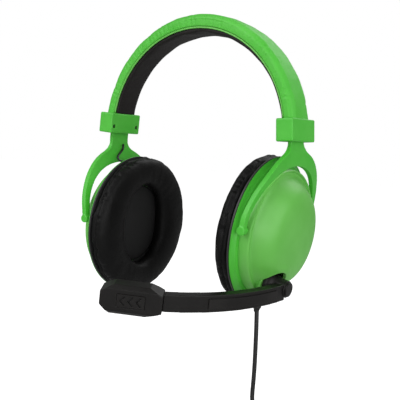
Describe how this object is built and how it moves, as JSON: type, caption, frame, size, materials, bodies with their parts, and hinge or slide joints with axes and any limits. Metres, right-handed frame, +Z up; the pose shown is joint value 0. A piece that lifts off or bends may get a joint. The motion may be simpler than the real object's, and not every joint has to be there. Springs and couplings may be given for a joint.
{
  "type": "gaming headset",
  "caption": "Over-ear gaming headset: padded green headband, sliding forked yokes, tilting round ear cups, swinging microphone boom and a hanging cord with coil and plug.",
  "frame": {"origin": "underside of the headband pad at the crown, where the headset rests on a head or a stand", "axes": "+Z up, +X the wearer's left (microphone side), -Y the wearer's front"},
  "size_m": [0.1774, 0.1814, 0.38],
  "materials": {
    "band_leather": "soft green leatherette",
    "band_pad_leather": "smooth black leatherette",
    "spring_steel": "rolled spring steel",
    "wire_insulation": "black insulation",
    "screw_steel": "blackened screw",
    "green_plastic": "satin moulded green",
    "dome_plastic": "satin moulded green, paler",
    "black_plastic": "matt black",
    "pad_leather": "black leatherette",
    "scrim_cloth": "black speaker cloth",
    "magnet_metal": "zinc plated",
    "cone_film": "translucent film",
    "boom_plastic": "satin charcoal",
    "capsule_metal": "plain metal can",
    "cord_jacket": "satin black jacket",
    "tie_strap": "black hook and loop strap",
    "plug_plastic": "matt black",
    "plug_metal": "polished nickel"
  },
  "bodies": {
    "headband": {"band_cover": "band_leather", "band_pad": "band_pad_leather", "band_spring": "spring_steel", "band_wire": "wire_insulation", "left_collar": "green_plastic", "right_collar": "green_plastic", "collar_screws": "screw_steel"},
    "left_slider": {"left_yoke": "green_plastic", "left_link_wire": "wire_insulation"},
    "right_slider": {"right_yoke": "green_plastic", "right_link_wire": "wire_insulation"},
    "left_cup": {"left_shell": "dome_plastic", "left_baffle": "green_plastic", "left_baffle_screws": "screw_steel", "left_driver_frame": "black_plastic", "left_driver_magnet": "magnet_metal", "left_driver_cone": "cone_film", "left_pad_plate": "black_plastic", "left_scrim": "scrim_cloth", "left_ear_pad": "pad_leather", "strain_relief": "cord_jacket", "cord": "cord_jacket", "cord_coil": "cord_jacket", "cord_tie": "tie_strap", "cord_tail": "cord_jacket", "plug_body": "plug_plastic", "plug_pin": "plug_metal"},
    "right_cup": {"right_shell": "dome_plastic", "right_baffle": "green_plastic", "right_baffle_screws": "screw_steel", "right_driver_frame": "black_plastic", "right_driver_magnet": "magnet_metal", "right_driver_cone": "cone_film", "right_pad_plate": "black_plastic", "right_scrim": "scrim_cloth", "right_ear_pad": "pad_leather"},
    "mic_boom": {"mic_pivot": "boom_plastic", "mic_hub_cap": "boom_plastic", "mic_arm": "boom_plastic", "mic_inlay": "boom_plastic", "mic_head": "boom_plastic", "mic_vent": "boom_plastic", "mic_capsule": "capsule_metal"}
  },
  "joints": [
    {"name": "left_slide", "type": "slide", "parent": "headband", "child": "left_slider", "axis": [0.0698, 0.0522, -0.9962], "range_m": [-0.001, 0.018]},
    {"name": "right_slide", "type": "slide", "parent": "headband", "child": "right_slider", "axis": [-0.0698, 0.0522, -0.9962], "range_m": [-0.0075, 0.0115]},
    {"name": "left_tilt", "type": "hinge", "parent": "left_slider", "child": "left_cup", "pos_m": [0.0676, 0.00334, -0.13041], "axis": [0, 0.9986, 0.0523], "range_deg": [-12, 0.5], "deforming": ["left_link_wire"]},
    {"name": "right_tilt", "type": "hinge", "parent": "right_slider", "child": "right_cup", "pos_m": [-0.06805, 0.00368, -0.13689], "axis": [0, 0.9986, 0.0523], "range_deg": [-10, 4], "deforming": ["right_link_wire"]},
    {"name": "mic_swing", "type": "hinge", "parent": "left_cup", "child": "mic_boom", "pos_m": [0.07044, -0.01152, -0.17173], "axis": [0.9936, 0.0059, -0.113], "range_deg": [-27, 55]}
  ]
}
